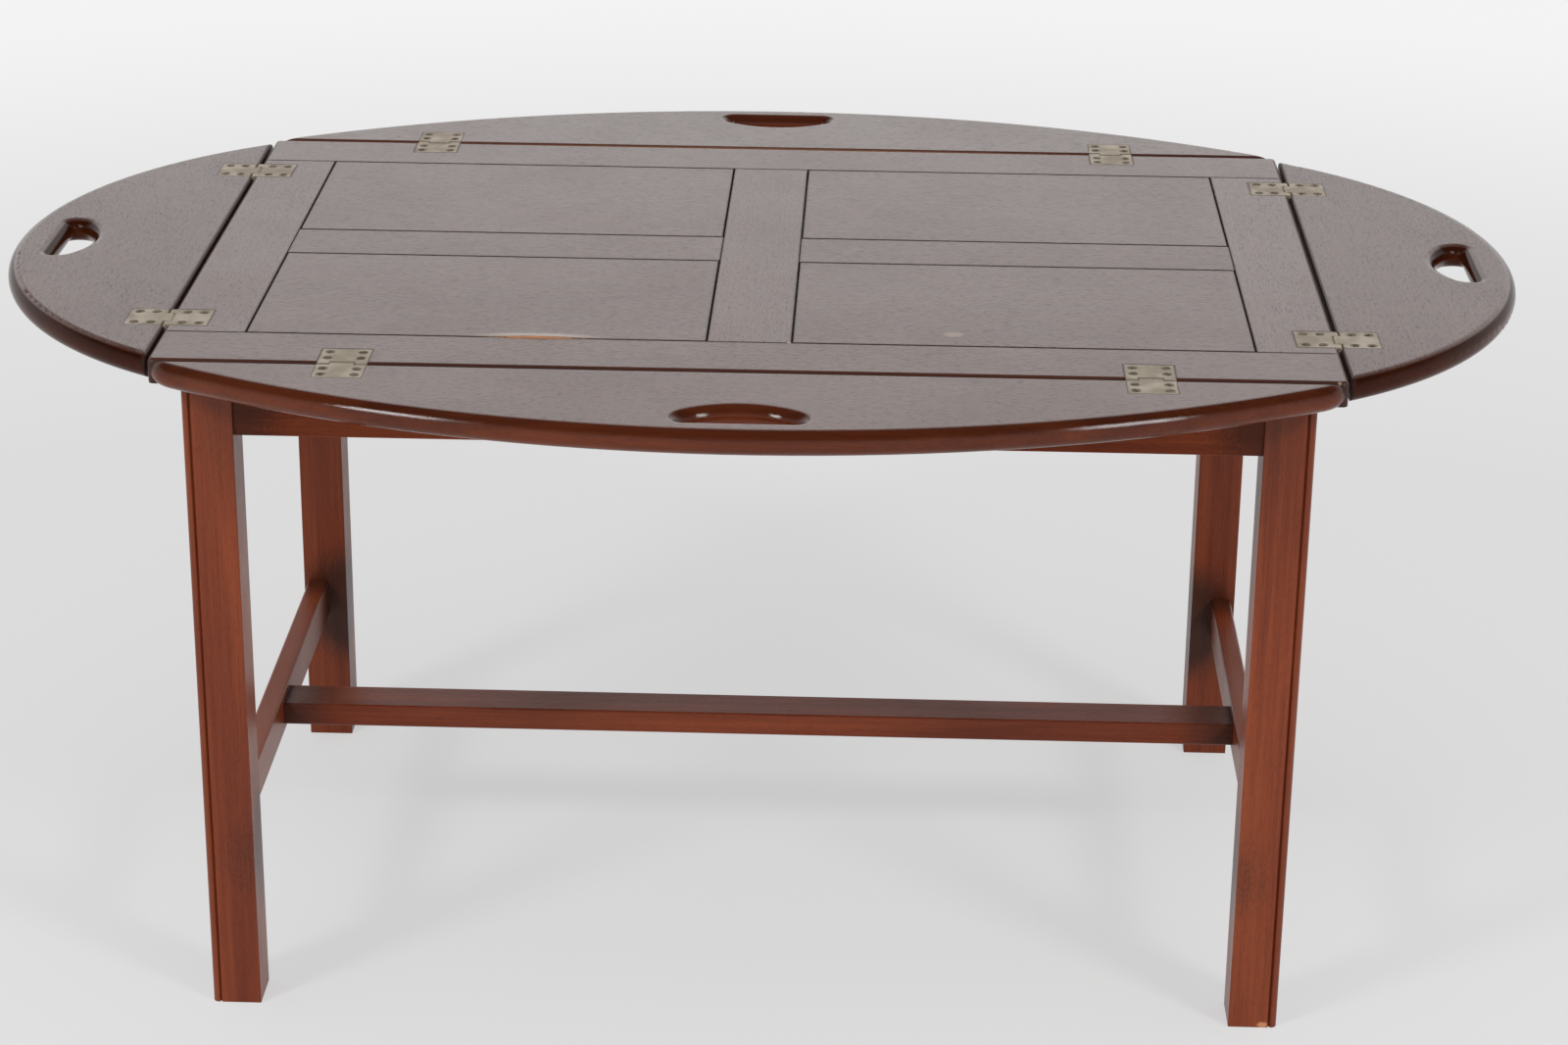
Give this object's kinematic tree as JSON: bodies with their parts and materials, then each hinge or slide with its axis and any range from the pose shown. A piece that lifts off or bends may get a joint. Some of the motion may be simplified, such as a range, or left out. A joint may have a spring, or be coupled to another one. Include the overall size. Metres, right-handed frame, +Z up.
{
  "type": "tray table",
  "caption": "Oval mahogany tray table: a framed tray with hinged leaves that fold up, on a square-legged stand with an H stretcher, from which the tray lifts off.",
  "frame": {"origin": "on the floor, under the middle of the tray", "axes": "+X along the table's length, +Y to the back (the picture is taken from -Y), +Z up"},
  "size_m": [1.071, 0.7568, 0.488],
  "materials": {
    "mahogany": "satin lacquer",
    "hinge_brass": "dull, aged",
    "hinge_screw": "dull, aged",
    "steel_screw": "bright zinc",
    "spring_steel": "blued"
  },
  "bodies": {
    "stand": {"apron_back": "mahogany", "apron_front": "mahogany", "apron_left": "mahogany", "apron_right": "mahogany", "corner_block_back_left": "mahogany", "corner_block_back_right": "mahogany", "corner_block_front_left": "mahogany", "corner_block_front_right": "mahogany", "end_stretcher_left": "mahogany", "end_stretcher_right": "mahogany", "leg_back_left": "mahogany", "leg_back_right": "mahogany", "leg_front_left": "mahogany", "leg_front_right": "mahogany", "long_stretcher": "mahogany"},
    "tray": {"batten_screws": "steel_screw", "hinge_back_left_tray_plate": "hinge_brass", "hinge_back_right_tray_plate": "hinge_brass", "hinge_front_left_tray_plate": "hinge_brass", "hinge_front_right_tray_plate": "hinge_brass", "hinge_left_back_tray_plate": "hinge_brass", "hinge_left_front_tray_plate": "hinge_brass", "hinge_pins": "hinge_brass", "hinge_right_back_tray_plate": "hinge_brass", "hinge_right_front_tray_plate": "hinge_brass", "hinge_springs": "spring_steel", "tray_batten_left": "mahogany", "tray_batten_right": "mahogany", "tray_centre_stile": "mahogany", "tray_hinge_screws": "hinge_screw", "tray_mid_rail_left": "mahogany", "tray_mid_rail_right": "mahogany", "tray_panel_back_left": "mahogany", "tray_panel_back_right": "mahogany", "tray_panel_front_left": "mahogany", "tray_panel_front_right": "mahogany", "tray_rail_back": "mahogany", "tray_rail_front": "mahogany", "tray_stile_left": "mahogany", "tray_stile_right": "mahogany"},
    "leaf_front": {"hinge_front_left_leaf_plate": "hinge_brass", "hinge_front_right_leaf_plate": "hinge_brass", "leaf_front": "mahogany", "leaf_front_screws": "hinge_screw"},
    "leaf_back": {"hinge_back_left_leaf_plate": "hinge_brass", "hinge_back_right_leaf_plate": "hinge_brass", "leaf_back": "mahogany", "leaf_back_screws": "hinge_screw"},
    "leaf_left": {"hinge_left_back_leaf_plate": "hinge_brass", "hinge_left_front_leaf_plate": "hinge_brass", "leaf_left": "mahogany", "leaf_left_screws": "hinge_screw"},
    "leaf_right": {"hinge_right_back_leaf_plate": "hinge_brass", "hinge_right_front_leaf_plate": "hinge_brass", "leaf_right": "mahogany", "leaf_right_screws": "hinge_screw"}
  },
  "joints": [
    {"name": "tray_lift", "type": "slide", "parent": "stand", "child": "tray", "axis": [0, 0, 1], "range_m": [0, 0.15]},
    {"name": "leaf_front_fold", "type": "hinge", "parent": "tray", "child": "leaf_front", "pos_m": [0, -0.2625, 0.4855], "axis": [-1, 0, 0], "range_deg": [0, 90]},
    {"name": "leaf_back_fold", "type": "hinge", "parent": "tray", "child": "leaf_back", "pos_m": [0, 0.2625, 0.4855], "axis": [1, 0, 0], "range_deg": [0, 90]},
    {"name": "leaf_left_fold", "type": "hinge", "parent": "tray", "child": "leaf_left", "pos_m": [-0.3925, 0, 0.4855], "axis": [0, 1, 0], "range_deg": [0, 90]},
    {"name": "leaf_right_fold", "type": "hinge", "parent": "tray", "child": "leaf_right", "pos_m": [0.3925, 0, 0.4855], "axis": [0, -1, 0], "range_deg": [0, 90]}
  ]
}
